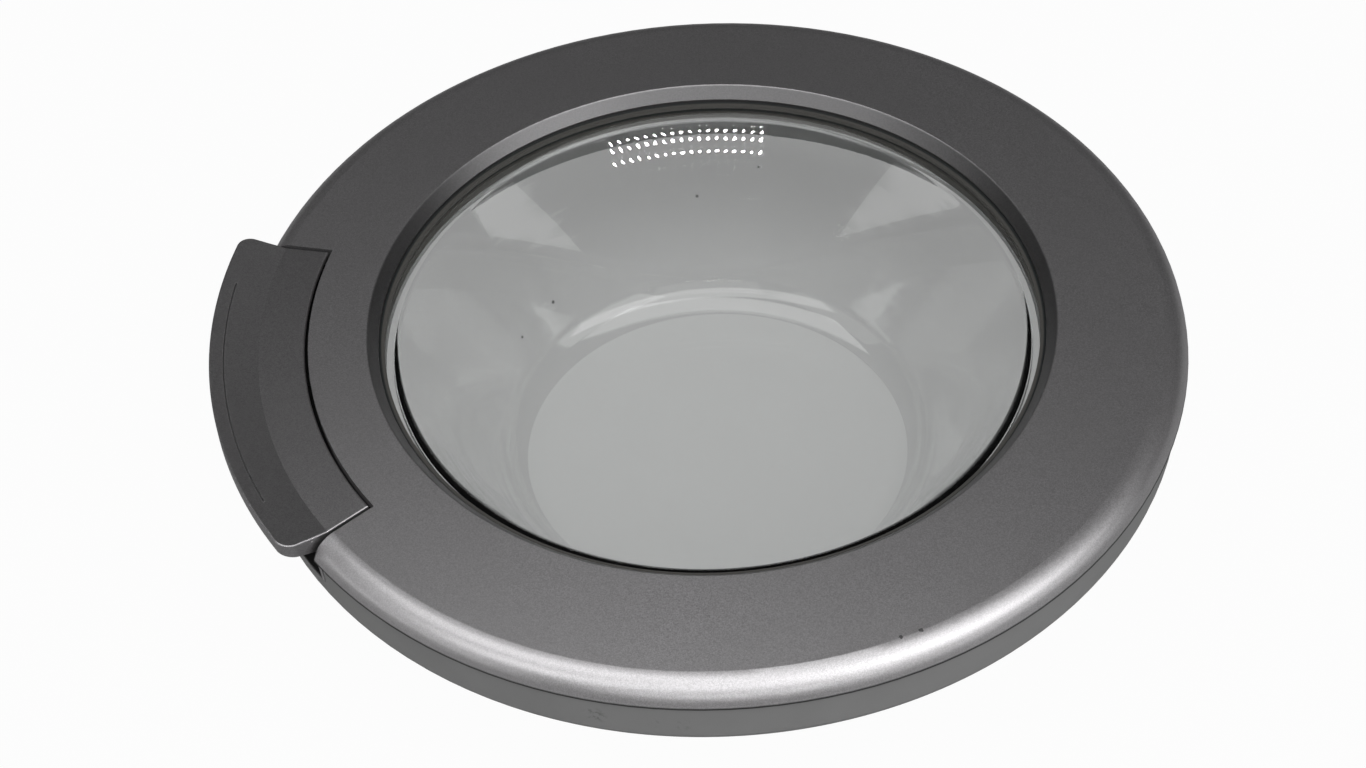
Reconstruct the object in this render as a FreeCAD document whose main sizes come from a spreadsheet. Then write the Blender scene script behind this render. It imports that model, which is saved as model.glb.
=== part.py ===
import FreeCAD, Part
import math
import os
import Sketcher
from types import SimpleNamespace

# Washing machine door for a 30 cm porthole, lying face up on its glass bowl.
# The origin is the middle of the bowl's flat bottom. +Z is the front of the door,
# -X points to the handle and +X to the hinge. Lengths are in mm, angles in degrees.

doc = FreeCAD.newDocument("WasherDoor")


# Sizes that keep their formula

class Size:
    """A length or an angle that carries its value and its formula in the sheet."""

    def __init__(self, value, formula=None):
        self.value = float(value)
        self.formula = formula or f"{float(value):.9g}"

    def __add__(self, other):
        other = size_of(other)
        return Size(self.value + other.value, f"({self.formula} + {other.formula})")

    def __radd__(self, other):
        return size_of(other) + self

    def __sub__(self, other):
        other = size_of(other)
        return Size(self.value - other.value, f"({self.formula} - {other.formula})")

    def __rsub__(self, other):
        return size_of(other) - self

    def __mul__(self, other):
        other = size_of(other)
        return Size(self.value * other.value, f"({self.formula} * {other.formula})")

    def __rmul__(self, other):
        return size_of(other) * self

    def __truediv__(self, other):
        other = size_of(other)
        return Size(self.value / other.value, f"({self.formula} / {other.formula})")

    def __rtruediv__(self, other):
        return size_of(other) / self

    def __neg__(self):
        return Size(-self.value, f"(-1 * {self.formula})")


def size_of(number):
    return number if isinstance(number, Size) else Size(number)


def sine(angle):
    return Size(math.sin(math.radians(angle.value)), f"sin({angle.formula})")


def cosine(angle):
    return Size(math.cos(math.radians(angle.value)), f"cos({angle.formula})")


def tangent(angle):
    return Size(math.tan(math.radians(angle.value)), f"tan({angle.formula})")


def root(number):
    return Size(math.sqrt(number.value), f"sqrt({number.formula})")


def size_sheet(values):
    """Writes each driving dimension to the sheet and returns it as a Size."""
    sheet = doc.addObject("Spreadsheet::Sheet", "Sizes")
    sizes = SimpleNamespace()
    for row, (alias, value) in enumerate(values.items(), start=1):
        sheet.set(f"A{row}", str(value))
        sheet.setAlias(f"A{row}", alias)
        setattr(sizes, alias, Size(value, f"Sizes.{alias}"))
    doc.recompute()
    return sizes


# Driving dimensions

DIMENSIONS = {
    # glass bowl
    "bowl_depth": 95.0,
    "bowl_mouth_inset": 76.7,
    "bowl_wall_lean": 30.0,
    "bowl_floor_round": 24.0,
    "bowl_rim_round": 8.0,
    "glass_wall": 5.0,
    "flange_width": 10.1,
    "flange_root_round": 3.0,
    # rubber channel round the flange
    "gasket_lip": 2.2,
    "gasket_side": 2.6,
    "gasket_show": 2.8,
    "gasket_grip": 4.4,
    # front frame
    "ring_radius": 232.5,
    "flange_cover": 2.3,
    "lip_width": 5.0,
    "lip_drop": 6.1,
    "lip_foot": 1.7,
    "lip_round": 1.0,
    "face_slope": 4.0,
    "side_lean": 10.0,
    "shoulder_round": 13.5,
    "front_depth": 15.35,
    "front_wall": 2.6,
    "front_rib_drop": 6.0,
    "front_rib_inset": 4.0,
    # rear frame
    "ring_depth": 43.0,
    "rear_step": 1.3,
    "rear_lean": 3.7,
    "rear_round": 7.0,
    "rear_wall": 2.5,
    "tongue_height": 2.5,
    "tongue_step": 3.0,
    "tongue_wall": 1.8,
    "collar_lean": 17.0,
    "collar_round": 4.0,
    "seat_overhang": 0.5,
    "upstand_height": 7.7,
    "upstand_gap": 0.3,
    "rear_rib_height": 10.0,
    "rear_rib_inset": 1.75,
    "rib_wall": 1.6,
    "rib_pitch": 15.0,
    # screws that join the frames
    "boss_inset": 35.5,
    "boss_pitch": 30.0,
    "boss_radius": 4.5,
    "standoff_radius": 6.2,
    "standoff_height": 8.0,
    "screw_head_radius": 3.8,
    "screw_head_height": 2.4,
    "screw_recess_depth": 5.0,
    "screw_recess_gap": 0.4,
    "screw_radius": 1.6,
    "screw_length": 17.0,
    "screw_hole_gap": 0.5,
    # notch and tub for the handle
    "notch_depth": 34.9,
    "notch_angle": 26.4,
    "tub_end_angle": 0.8,
    "tub_wall": 2.0,
    "tub_floor_drop": 17.0,
    "tub_step_inset": 15.5,
    "tub_step": 10.0,
    "tub_seat_gap": 0.2,
    # handle
    "handle_gap": 1.8,
    "handle_angle": 25.9,
    "handle_overhang": 13.0,
    "handle_crease_inset": 23.5,
    "handle_rise": 10.0,
    "handle_wall": 2.2,
    "handle_skirt": 7.0,
    "handle_end_skirt": 9.8,
    "handle_inner_skirt": 7.4,
    "handle_end_inset": 19.5,
    "handle_end_wall": 0.6,
    "handle_corner_round": 7.0,
    "handle_edge_round": 0.7,
    "groove_inset": 7.0,
    "groove_angle": 18.0,
    "groove_width": 0.7,
    "groove_depth": 0.5,
    "lever_wall": 2.4,
    "lever_angle": 24.6,
    "lever_lip": 4.0,
    # handle axle
    "axle_inset": 5.4,
    "axle_drop": 9.0,
    "axle_radius": 2.0,
    "axle_gap": 0.05,
    "axle_boss_radius": 4.0,
    "axle_half_length": 41.0,
    "cheek_offset": 36.0,
    "cheek_wall": 4.0,
    "cheek_radius": 3.8,
    "cheek_side_room": 1.6,
    "boss_half_length": 35.0,
    "lever_inset": 2.2,
    "lever_web_inner": 1.5,
    "lever_web_outer": 4.5,
    "arm_width": 8.4,
    "arm_thickness": 5.0,
    "arm_reach": 15.5,
    "arm_tip_round": 1.0,
    "arm_ear_width": 2.8,
    "arm_ear_height": 2.5,
    "arm_ear_drop": 7.5,
    "window_half_width": 9.0,
    "window_outset": 12.0,
    "window_inset": 3.0,
    # return spring on the axle
    "spring_wire_radius": 0.6,
    "spring_coil_radius": 3.4,
    "spring_turns": 3.5,
    "spring_pitch": 1.6,
    "spring_start": 5.3,
    "spring_room": 1.2,
    "bumper_radius": 4.0,
    "bumper_inset": 21.5,
    "bumper_angle": 14.0,
    "bumper_gap": 0.3,
    "handle_screw_inset": 14.5,
    "handle_screw_angle": 8.0,
    "handle_screw_spread": 12.0,
    "handle_screw_length": 3.9,
    # latch
    "latch_outset": 9.4,
    "latch_pin_lift": 7.5,
    "latch_pin_radius": 2.0,
    "latch_pin_gap": 0.1,
    "hook_width": 9.0,
    "hook_reach": 34.0,
    "hook_shank": 6.0,
    "hook_nose": 7.0,
    "hook_catch": 11.0,
    "hook_catch_edge": 6.6,
    "hook_edge_round": 1.0,
    "hook_bend_round": 2.0,
    "hook_tip_round": 4.0,
    "hook_boss_radius": 4.6,
    "hook_push_gap": 0.6,
    "hook_top_gap": 1.5,
    "hook_swing_room": 4.0,
    "latch_cheek_offset": 9.0,
    "latch_cheek_wall": 3.0,
    "latch_cheek_round": 4.5,
    "latch_base_wall": 2.5,
    "latch_base_half_length": 14.0,
    "latch_base_half_width": 20.0,
    "latch_screw_inset": 4.0,
    "latch_slot_gap": 1.5,
    "latch_side_gap": 1.0,
    "latch_coil_radius": 3.0,
    "latch_wire_radius": 0.5,
    "latch_spring_pitch": 1.1,
    "latch_spring_turns": 2.5,
    # hinge
    "hinge_inset": 13.5,
    "hinge_lift": 9.0,
    "hinge_pin_radius": 3.5,
    "hinge_pin_gap": 0.05,
    "knuckle_radius": 6.0,
    "knuckle_half_length": 20.0,
    "bush_radius": 5.0,
    "bush_flange_radius": 6.5,
    "bush_flange_wall": 1.0,
    "bush_side_gap": 0.2,
    "support_cheek_wall": 5.0,
    "support_wall": 2.5,
    "support_web_gap": 3.0,
    "support_bend": 4.0,
    "support_inset": 10.0,
    "support_outset": 5.8,
    "support_room": 1.0,
    "foot_length": 15.0,
    "foot_depth": 22.0,
    "foot_outset": 1.5,
    "foot_screw_spacing": 11.0,
    "plate_offset": 16.5,
    "plate_wall": 3.5,
    "plate_half_width": 26.0,
    "plate_reach": 56.0,
    "plate_top": 10.0,
    "plate_round": 7.0,
    "plate_hole_radius": 3.3,
    "plate_hole_spacing": 30.0,
    "plate_hole_first": 18.0,
    "hang_angle": 30.0,
    "arm_lean": 35.0,
    "hinge_arm_thickness": 7.0,
    "hinge_arm_half_width": 9.5,
    "arm_root_round": 5.0,
    "pin_end": 0.6,
    "hinge_slot_gap": 1.5,
    # small screws and general clearance
    "small_screw_radius": 1.5,
    "small_head_depth": 1.8,
    "small_screw_length": 7.5,
    "fit_gap": 0.3,
    # how far a cut runs past what it cuts
    "cut_past": 1.0,
}
S = size_sheet(DIMENSIONS)

# Radii and heights that follow from them

MOUTH_RADIUS = S.ring_radius - S.bowl_mouth_inset
FLANGE_RADIUS = MOUTH_RADIUS + S.flange_width
HOLE_RADIUS = FLANGE_RADIUS - S.flange_cover
BOSS_CIRCLE = S.ring_radius - S.boss_inset
NOTCH_RADIUS = S.ring_radius - S.notch_depth
TUB_STEP_RADIUS = S.ring_radius - S.tub_step_inset
HANDLE_RADIUS = S.ring_radius + S.handle_overhang
CREASE_RADIUS = HANDLE_RADIUS - S.handle_crease_inset
HANDLE_END_RADIUS = HANDLE_RADIUS - S.handle_end_inset
GROOVE_RADIUS = HANDLE_RADIUS - S.groove_inset
BUMPER_CIRCLE = HANDLE_RADIUS - S.bumper_inset
HANDLE_SCREW_CIRCLE = HANDLE_RADIUS - S.handle_screw_inset
LATCH_RADIUS = NOTCH_RADIUS + S.latch_outset

GLASS_TOP_Z = S.bowl_depth
FLANGE_Z = GLASS_TOP_Z - S.glass_wall
LIP_FOOT_Z = GLASS_TOP_Z + S.gasket_lip
LIP_Z = LIP_FOOT_Z + S.lip_foot
FACE_Z = LIP_Z + S.lip_drop
FACE_RADIUS = HOLE_RADIUS + S.lip_width
JOINT_Z = FACE_Z - S.front_depth
BACK_Z = FACE_Z - S.ring_depth
BACK_TOP_Z = BACK_Z + S.rear_wall
SEAT_Z = FLANGE_Z - S.gasket_lip
GASKET_RADIUS = FLANGE_RADIUS + S.gasket_side
TUB_FLOOR_Z = FACE_Z - S.tub_floor_drop
TUB_BASE_Z = TUB_FLOOR_Z - S.tub_wall
TUB_LOW_Z = TUB_FLOOR_Z - S.tub_step
TUB_FOOT_Z = TUB_LOW_Z - S.tub_wall
TUB_STEP_BACK = TUB_STEP_RADIUS - S.tub_wall
AXLE_X = -1 * (NOTCH_RADIUS + S.axle_inset)
AXLE_Z = FACE_Z - S.axle_drop
LATCH_X = -1 * LATCH_RADIUS
LATCH_Z = BACK_TOP_Z + S.latch_pin_lift
HINGE_X = S.ring_radius - S.hinge_inset
HINGE_Z = BACK_Z + S.hinge_lift
STANDOFF_Z = BACK_Z + S.standoff_height
SUPPORT_IN = HINGE_X - S.support_inset
SUPPORT_OUT = HINGE_X + S.support_outset
SUPPORT_SIDE = (S.knuckle_half_length + S.bush_side_gap + S.bush_flange_wall
                + S.support_cheek_wall)
FOOT_OUT = HINGE_X + S.foot_outset
FOOT_IN = FOOT_OUT - S.foot_depth
FOOT_END = SUPPORT_SIDE + S.foot_length
LATCH_SCREW_Y = S.latch_base_half_width - S.latch_screw_inset


# Drawing and feature helpers

def bind(thing, prop, size):
    """Sets a property from the sheet."""
    thing.setExpression(prop, size_of(size).formula)


def new_body(label):
    body = doc.addObject("PartDesign::Body", label)
    body.Label = label
    return body


def new_sketch(body, name, plane, offset=0, turn=None):
    """A sketch on the body's XY, XZ or YZ plane, moved by offset along +Z, +Y or +X.

    An upright section may be turned about the Z axis first."""
    sketch = body.newObject("Sketcher::SketchObject", name)
    role = plane + "_Plane"
    support = [f for f in body.Origin.OriginFeatures if f.Role == role][0]
    sketch.AttachmentSupport = [(support, "")]
    sketch.MapMode = "FlatFace"
    offset = size_of(offset)
    if plane == "XZ":
        offset = -offset
    bind(sketch, "AttachmentOffset.Base.z", offset)
    if turn is not None:
        upright = FreeCAD.Rotation(FreeCAD.Vector(0, 1, 0), turn.value)
        sketch.AttachmentOffset = FreeCAD.Placement(FreeCAD.Vector(0, 0, 0), upright)
        bind(sketch, "AttachmentOffset.Rotation.Angle", turn)
    return sketch


def place_point(sketch, geometry, corner, across, up):
    """Ties one point of the sketch to its two distances from the sketch's origin."""
    for kind, axis, distance in (("DistanceX", -2, across), ("DistanceY", -1, up)):
        distance = size_of(distance)
        if abs(distance.value) < 1e-9:
            sketch.addConstraint(Sketcher.Constraint("PointOnObject", geometry, corner, axis))
            continue
        if distance.value > 0:
            tie = Sketcher.Constraint(kind, -1, 1, geometry, corner, distance.value)
        else:
            distance = -distance
            tie = Sketcher.Constraint(kind, geometry, corner, -1, 1, distance.value)
        index = sketch.addConstraint(tie)
        bind(sketch, f"Constraints[{index}]", distance)


def tie_radius(sketch, geometry, radius):
    index = sketch.addConstraint(Sketcher.Constraint("Radius", geometry, radius.value))
    bind(sketch, f"Constraints[{index}]", radius)


def draw_circle(sketch, across, up, radius):
    across, up, radius = size_of(across), size_of(up), size_of(radius)
    centre = FreeCAD.Vector(across.value, up.value, 0)
    circle = Part.Circle(centre, FreeCAD.Vector(0, 0, 1), radius.value)
    index = sketch.addGeometry(circle, False)
    place_point(sketch, index, 3, across, up)
    tie_radius(sketch, index, radius)


def rounded_corner(before, corner, after, radius):
    """The two points where an arc of this radius meets the sides, and the arc itself."""
    back = (before - corner).normalize()
    ahead = (after - corner).normalize()
    half = back.getAngle(ahead) / 2
    reach = radius / math.tan(half)
    start = corner + back * reach
    end = corner + ahead * reach
    centre = corner + (back + ahead).normalize() * (radius / math.sin(half))
    middle = centre + (corner - centre).normalize() * radius
    return start, end, Part.Arc(start, middle, end)


def draw_outline(sketch, corners):
    """A closed outline. A corner is (across, up) or (across, up, radius of its round)."""
    corners = [tuple(size_of(value) for value in corner) for corner in corners]
    points = [FreeCAD.Vector(corner[0].value, corner[1].value, 0) for corner in corners]
    count = len(points)
    arrive, leave, arcs = list(points), list(points), {}
    for i, corner in enumerate(corners):
        if len(corner) == 3:
            arrive[i], leave[i], arcs[i] = rounded_corner(
                points[i - 1], points[i], points[(i + 1) % count], corner[2].value)
    lines = []
    for i in range(count):
        side = Part.LineSegment(leave[i], arrive[(i + 1) % count])
        lines.append(sketch.addGeometry(side, False))
    for i, corner in enumerate(corners):
        last, following = lines[i - 1], lines[i]
        if i not in arcs:
            sketch.addConstraint(Sketcher.Constraint("Coincident", last, 2, following, 1))
            place_point(sketch, following, 1, corner[0], corner[1])
            continue
        arc = sketch.addGeometry(arcs[i], False)
        first = 1
        turn = (points[i] - points[i - 1]).cross(points[(i + 1) % count] - points[i]).z
        if turn < 0:
            first = 2
        sketch.addConstraint(Sketcher.Constraint("Tangent", last, 2, arc, first))
        sketch.addConstraint(Sketcher.Constraint("Tangent", arc, 3 - first, following, 1))
        tie_radius(sketch, arc, corner[2])
        apex = sketch.addGeometry(Part.Point(points[i]), True)
        sketch.addConstraint(Sketcher.Constraint("PointOnObject", apex, 1, last))
        sketch.addConstraint(Sketcher.Constraint("PointOnObject", apex, 1, following))
        place_point(sketch, apex, 1, corner[0], corner[1])


def draw_box(sketch, left, right, low, high):
    draw_outline(sketch, [(left, low), (right, low), (right, high), (left, high)])


def add_feature(body, kind, name, sketch, grows, settings):
    before = body.Shape.Volume if body.Tip else 0.0
    feature = body.newObject("PartDesign::" + kind, name)
    feature.Profile = sketch
    settings(feature)
    doc.recompute()
    after = body.Shape.Volume
    if (after - before) * (1 if grows else -1) <= 1e-6:
        raise RuntimeError(f"{body.Label}: {name} changed nothing")
    return feature


def spin(body, name, sketch, angle=360, cut=False):
    """Turns a section about the Z axis, the angle shared to both sides of its plane."""
    def settings(feature):
        feature.ReferenceAxis = (sketch, ["V_Axis"])
        feature.Midplane = size_of(angle).value < 360
        bind(feature, "Angle", angle)
    kind = "Groove" if cut else "Revolution"
    return add_feature(body, kind, name, sketch, not cut, settings)


def extrude(body, name, sketch, length, cut=False, both=False, up=True):
    """Pads or cuts along the sketch's normal, or to both sides of it."""
    def settings(feature):
        bind(feature, "Length", length)
        if both:
            feature.SideType = "Symmetric"
        else:
            feature.Reversed = (not up) != cut
    kind = "Pocket" if cut else "Pad"
    return add_feature(body, kind, name, sketch, not cut, settings)


def repeat_around(body, name, feature, count):
    """Copies a feature evenly round the Z axis."""
    pattern = body.newObject("PartDesign::PolarPattern", name)
    pattern.Originals = [feature]
    axis = [f for f in body.Origin.OriginFeatures if f.Role == "Z_Axis"][0]
    pattern.Axis = (axis, [""])
    pattern.Angle = 360
    pattern.Occurrences = count
    body.Tip = pattern
    doc.recompute()
    return pattern


def round_edges(body, name, radius, wanted):
    """Rounds the edges of the body's last feature that the test picks."""
    base = body.Tip
    edges = [f"Edge{i}" for i, edge in enumerate(base.Shape.Edges, start=1) if wanted(edge)]
    if not edges:
        raise RuntimeError(f"{body.Label}: {name} found no edge")
    feature = body.newObject("PartDesign::Fillet", name)
    feature.Base = (base, edges)
    bind(feature, "Radius", radius)
    doc.recompute()
    return feature


def at_angle(radius, angle):
    """The X and Y of a point at this radius, its angle counted from +X."""
    return radius * cosine(angle), radius * sine(angle)


# Lines of the front frame's section, at a depth below its outer skin

def face_line(radius, depth=0):
    """Height of the sloping face at a radius."""
    slope = tangent(S.face_slope)
    return FACE_Z - depth / cosine(S.face_slope) - (radius - FACE_RADIUS) * slope


def side_line(z, depth=0):
    """Radius of the ring's leaning side at a height."""
    return S.ring_radius - depth / cosine(S.side_lean) - (z - JOINT_Z) * tangent(S.side_lean)


def shoulder_corner(depth=0):
    """Where the lines of the face and the side would meet."""
    fall = tangent(S.face_slope)
    lean = tangent(S.side_lean)
    side_foot = S.ring_radius - depth / cosine(S.side_lean) + JOINT_Z * lean
    face_top = FACE_Z - depth / cosine(S.face_slope) + FACE_RADIUS * fall
    z = (face_top - side_foot * fall) / (1 - lean * fall)
    return side_foot - z * lean, z


def lip_line(z, depth):
    """Radius of the chamfer's hidden side at a height."""
    length = root(S.lip_width * S.lip_width + S.lip_drop * S.lip_drop)
    return HOLE_RADIUS + (z - LIP_Z) * S.lip_width / S.lip_drop + depth * length / S.lip_drop


def lip_corner(depth):
    """Where the hidden sides of the chamfer and the face meet."""
    fall = tangent(S.face_slope)
    run = S.lip_width / S.lip_drop
    start = lip_line(size_of(0), depth)
    face_top = FACE_Z - depth / cosine(S.face_slope) + FACE_RADIUS * fall
    z = (face_top - start * fall) / (1 + run * fall)
    return start + z * run, z


def rear_side(z, depth=0):
    """Radius of the rear frame's leaning side at a height."""
    top = S.ring_radius - S.rear_step
    return top - (JOINT_Z - z) * tangent(S.rear_lean) - depth / cosine(S.rear_lean)


# Sub-parts

def boss_angles():
    """The frames' screws stand at both sides, clear of the hinge and of the handle."""
    angles = []
    for step in (1, 2, 3, 4):
        angles.append(S.boss_pitch * step)
        angles.append(S.boss_pitch * -step)
    return angles


def front_frame():
    body = new_body("front_frame")
    wall = S.front_wall
    section = new_sketch(body, "RingSection", "XZ")
    corner, inner = shoulder_corner(), shoulder_corner(wall)
    lip_r, lip_z = lip_corner(wall)
    draw_outline(section, [
        (HOLE_RADIUS, LIP_Z),
        (FACE_RADIUS, FACE_Z, S.lip_round),
        (corner[0], corner[1], S.shoulder_round),
        (S.ring_radius, JOINT_Z),
        (side_line(JOINT_Z, wall), JOINT_Z),
        (inner[0], inner[1], S.shoulder_round - wall),
        (lip_r, lip_z),
        (lip_line(LIP_FOOT_Z, wall), LIP_FOOT_Z),
        (HOLE_RADIUS, LIP_FOOT_Z),
    ])
    spin(body, "Ring", section)

    rib = new_sketch(body, "RibSection", "XZ", turn=S.rib_pitch / 2)
    rib_in = FACE_RADIUS + S.front_rib_inset
    rib_out = S.ring_radius - S.shoulder_round
    draw_outline(rib, [
        (rib_in, face_line(rib_in, wall / 2)),
        (rib_out, face_line(rib_out, wall / 2)),
        (rib_out, face_line(rib_out, wall) - S.front_rib_drop),
        (rib_in, face_line(rib_in, wall) - S.front_rib_drop),
    ])
    first_rib = extrude(body, "Rib", rib, S.rib_wall, both=True)
    repeat_around(body, "Ribs", first_rib, round(360 / S.rib_pitch.value))

    posts = new_sketch(body, "BossCircles", "XY", STANDOFF_Z)
    holes = new_sketch(body, "BossHoleCircles", "XY", STANDOFF_Z)
    for angle in boss_angles():
        x, y = at_angle(BOSS_CIRCLE, angle)
        draw_circle(posts, x, y, S.boss_radius)
        draw_circle(holes, x, y, S.screw_radius)
    boss_height = face_line(BOSS_CIRCLE, wall / 2) - STANDOFF_Z
    extrude(body, "Bosses", posts, boss_height)
    extrude(body, "BossHoles", holes, S.screw_length, cut=True)

    tub = new_sketch(body, "TubSection", "XZ")
    mid = shoulder_corner(wall / 2)
    tub_in = NOTCH_RADIUS - S.tub_wall
    tub_out = side_line(JOINT_Z, wall / 2)
    draw_outline(tub, [
        (-tub_in, TUB_BASE_Z),
        (-tub_in, face_line(tub_in, wall / 2)),
        (-mid[0], mid[1], S.shoulder_round - wall / 2),
        (-tub_out, JOINT_Z),
        (-rear_side(TUB_FOOT_Z), TUB_FOOT_Z),
        (-TUB_STEP_BACK, TUB_FOOT_Z),
        (-TUB_STEP_BACK, TUB_BASE_Z),
    ])
    spin(body, "Tub", tub, 2 * (S.notch_angle + S.tub_end_angle))
    hollow = new_sketch(body, "NotchSection", "XZ")
    past = HANDLE_RADIUS + S.cut_past
    draw_outline(hollow, [
        (-past, TUB_LOW_Z),
        (-TUB_STEP_RADIUS, TUB_LOW_Z),
        (-TUB_STEP_RADIUS, TUB_FLOOR_Z),
        (-NOTCH_RADIUS, TUB_FLOOR_Z),
        (-NOTCH_RADIUS, FACE_Z + S.cut_past),
        (-past, FACE_Z + S.cut_past),
    ])
    spin(body, "Notch", hollow, 2 * S.notch_angle, cut=True)
    pads = new_sketch(body, "BumperPadCircles", "XY", TUB_LOW_Z)
    for side in (-1, 1):
        x, y = at_angle(-BUMPER_CIRCLE, side * S.bumper_angle)
        draw_circle(pads, x, y, S.bumper_radius)
    extrude(body, "BumperPads", pads, S.tub_step)

    cheeks = new_sketch(body, "AxleCheeks", "XZ")
    draw_box(cheeks, AXLE_X - S.cheek_radius, AXLE_X + S.cheek_radius,
             TUB_FLOOR_Z - S.tub_wall / 2, AXLE_Z)
    tops = new_sketch(body, "AxleCheekTops", "XZ")
    draw_circle(tops, AXLE_X, AXLE_Z, S.cheek_radius)
    between = new_sketch(body, "AxleCheekGap", "XZ")
    draw_box(between, AXLE_X - S.cheek_radius - S.cut_past, AXLE_X + S.cheek_radius + S.cut_past,
             TUB_FLOOR_Z, FACE_Z)
    full = 2 * (S.cheek_offset + S.cheek_wall)
    extrude(body, "CheekBlock", cheeks, full, both=True)
    extrude(body, "CheekTops", tops, full, both=True)
    extrude(body, "CheekGap", between, 2 * S.cheek_offset, cut=True, both=True)
    axle = new_sketch(body, "AxleHole", "XZ")
    draw_circle(axle, AXLE_X, AXLE_Z, S.axle_radius)
    extrude(body, "AxleBore", axle, full + S.cut_past, cut=True, both=True)

    window = new_sketch(body, "ArmWindow", "XY", TUB_FLOOR_Z)
    draw_box(window, AXLE_X - S.window_outset, AXLE_X + S.window_inset,
             -S.window_half_width, S.window_half_width)
    extrude(body, "Window", window, S.tub_wall, cut=True, up=False)
    return body


def collar_line(z, depth=0):
    """Radius of the collar's hidden side at a height, less a depth into the wall."""
    foot = GASKET_RADIUS + S.upstand_gap + S.rear_wall
    return foot + (SEAT_Z - z) * tangent(S.collar_lean) - depth / cosine(S.collar_lean)


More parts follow.
